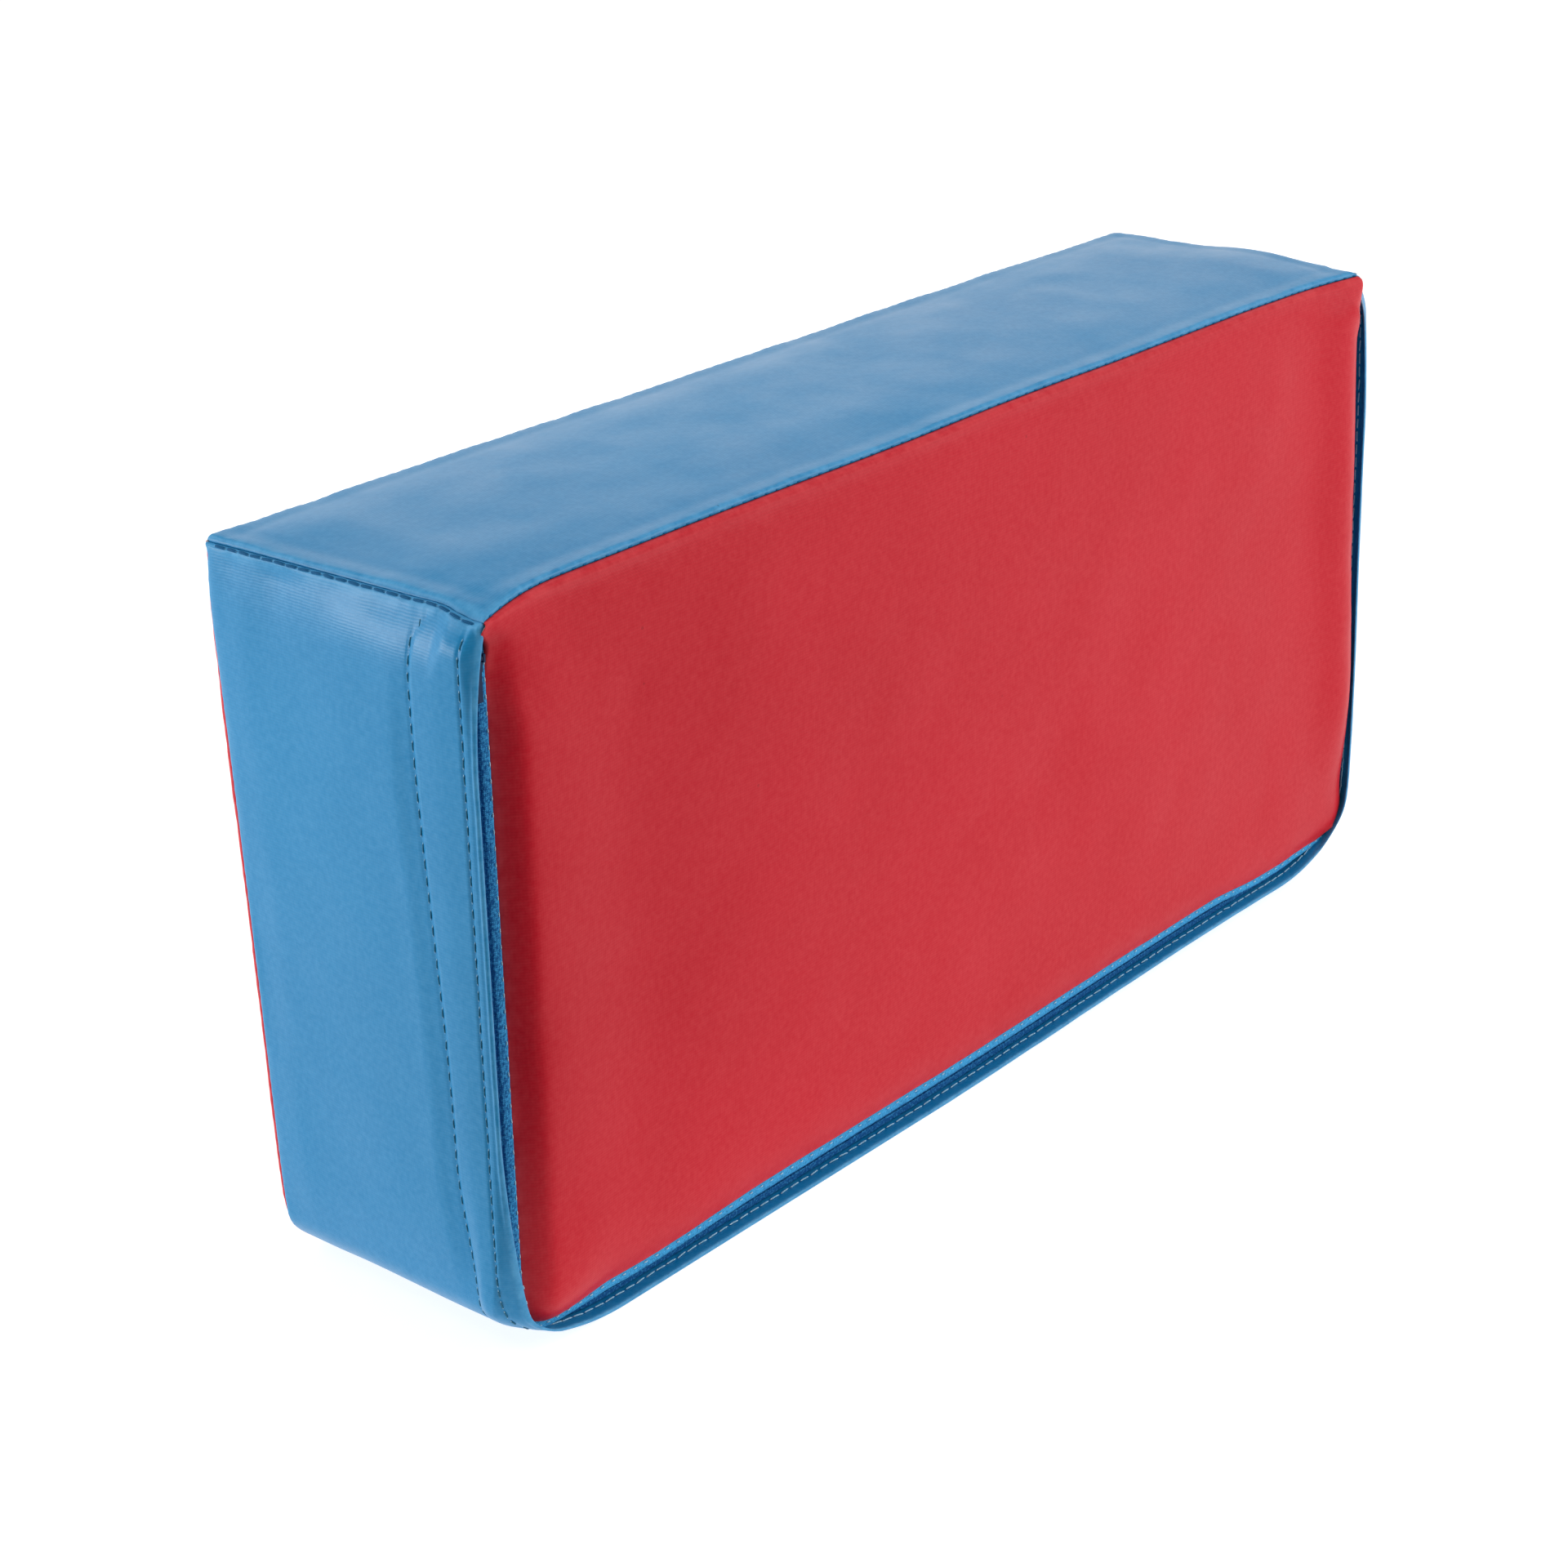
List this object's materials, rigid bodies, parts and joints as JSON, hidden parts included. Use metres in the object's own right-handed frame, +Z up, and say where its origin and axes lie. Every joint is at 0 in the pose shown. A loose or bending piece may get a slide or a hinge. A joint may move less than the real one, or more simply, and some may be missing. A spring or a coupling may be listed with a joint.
{
  "type": "foam gymnastics block",
  "caption": "Rectangular foam gymnastics block in a blue and red coated vinyl cover, with a red side panel that opens on a hidden zip.",
  "frame": {"origin": "centre of the block's footprint, on the floor", "axes": "+X along the block's length, -Y out of the side that opens on the zip, +Z up"},
  "size_m": [0.6, 0.15, 0.3],
  "materials": {
    "blue_vinyl": "satin",
    "red_vinyl": "satin",
    "foam": "matte",
    "zip_tape": "matte",
    "zip_coil": "satin",
    "zip_metal": "satin",
    "thread": "matte"
  },
  "bodies": {
    "cover_and_core": {"foam_core": "foam", "top_panel": "blue_vinyl", "side_band": "blue_vinyl", "back_panel": "red_vinyl", "zip_tape_band": "zip_tape", "zip_coil_band": "zip_coil", "zip_end_stop": "zip_metal", "bar_tacks": "thread", "seam_back": "thread", "seam_top_front": "thread", "seam_top_back": "thread", "seam_top_left": "thread", "seam_top_right": "thread", "row_lip_outer": "thread", "row_lip_inner": "thread"},
    "front_flap": {"front_panel": "red_vinyl", "zip_tape_panel": "zip_tape", "zip_coil_panel": "zip_coil", "row_panel_tape": "thread", "zip_top_stop": "zip_metal"},
    "slider": {"zip_slider": "zip_metal"},
    "pull": {"zip_pull": "zip_metal"}
  },
  "joints": [
    {"name": "front_panel_open", "type": "hinge", "parent": "cover_and_core", "child": "front_flap", "pos_m": [0, -0.0698, 0.2991], "axis": [-1, 0, 0], "range_deg": [0, 170]},
    {"name": "slider_run", "type": "slide", "parent": "front_flap", "child": "slider", "axis": [0, 0, -1], "range_m": [0, 0.25]},
    {"name": "pull_swing", "type": "hinge", "parent": "slider", "child": "pull", "pos_m": [-0.2938, -0.0719, 0.2825], "axis": [-1, 0, 0], "range_deg": [0, 170]}
  ]
}
